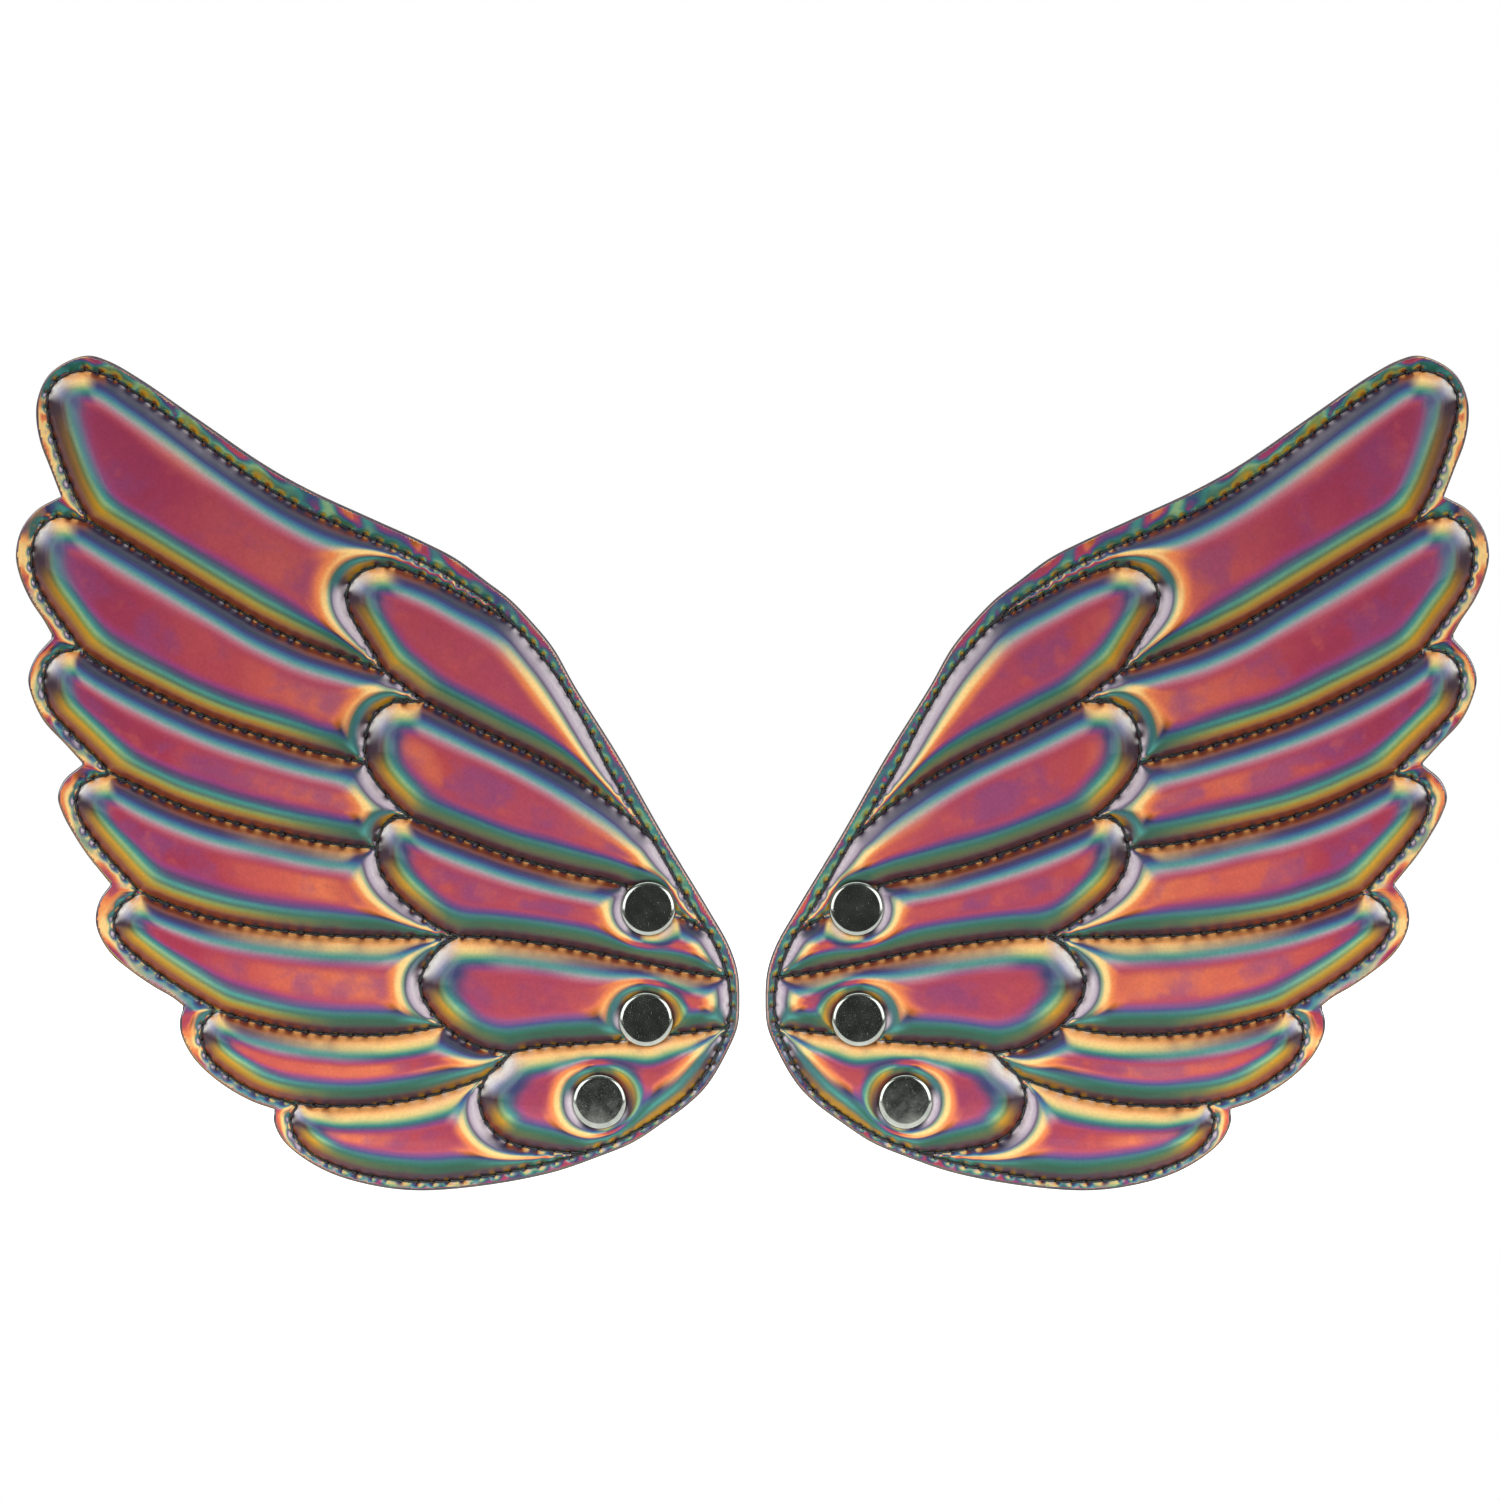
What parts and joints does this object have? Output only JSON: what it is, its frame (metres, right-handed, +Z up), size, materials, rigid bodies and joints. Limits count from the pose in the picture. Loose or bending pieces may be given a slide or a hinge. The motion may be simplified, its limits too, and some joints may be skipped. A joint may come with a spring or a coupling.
{
  "type": "fairy wings",
  "caption": "Pair of quilted, padded fairy wings in shiny colour-shifting film with stitched feathers, each held by snap fasteners near its root.",
  "frame": {"origin": "midway between the two wings' roots, on the plane of the garment where the sockets' mouths lie, level with the middle snap fasteners", "axes": "+X towards the right-hand wing as seen from the shiny front, +Y from the shiny front to the garment, +Z up"},
  "size_m": [0.3326, 0.0091, 0.1885],
  "materials": {
    "iridescent_film": "colour-shifting pearl gloss, crimson to purple, teal and gold",
    "foam": "soft polyester wadding, squeezed flat along the seams",
    "back_panel": "matt woven lining",
    "thread": "black twisted polyester thread",
    "snap_nickel": "polished nickel plate with light scratches",
    "snap_steel": "plain spring wire"
  },
  "bodies": {
    "left_wing": {"left_front_film": "iridescent_film", "left_foam": "foam", "left_back_panel": "back_panel", "left_outline_stitching": "thread", "left_quilting_stitching": "thread", "left_outline_bobbin": "thread", "left_quilting_bobbin": "thread", "left_upper_cap": "snap_nickel", "left_upper_post": "snap_nickel", "left_upper_socket": "snap_nickel", "left_upper_spring": "snap_steel", "left_middle_cap": "snap_nickel", "left_middle_post": "snap_nickel", "left_middle_socket": "snap_nickel", "left_middle_spring": "snap_steel", "left_lower_cap": "snap_nickel", "left_lower_post": "snap_nickel", "left_lower_socket": "snap_nickel", "left_lower_spring": "snap_steel"},
    "right_wing": {"right_front_film": "iridescent_film", "right_foam": "foam", "right_back_panel": "back_panel", "right_outline_stitching": "thread", "right_quilting_stitching": "thread", "right_outline_bobbin": "thread", "right_quilting_bobbin": "thread", "right_upper_cap": "snap_nickel", "right_upper_post": "snap_nickel", "right_upper_socket": "snap_nickel", "right_upper_spring": "snap_steel", "right_middle_cap": "snap_nickel", "right_middle_post": "snap_nickel", "right_middle_socket": "snap_nickel", "right_middle_spring": "snap_steel", "right_lower_cap": "snap_nickel", "right_lower_post": "snap_nickel", "right_lower_socket": "snap_nickel", "right_lower_spring": "snap_steel"}
  },
  "joints": [
    {"name": "root_gap_slide", "type": "slide", "parent": "left_wing", "child": "right_wing", "axis": [1, 0, 0], "range_m": [-0.005, 0.04]}
  ]
}
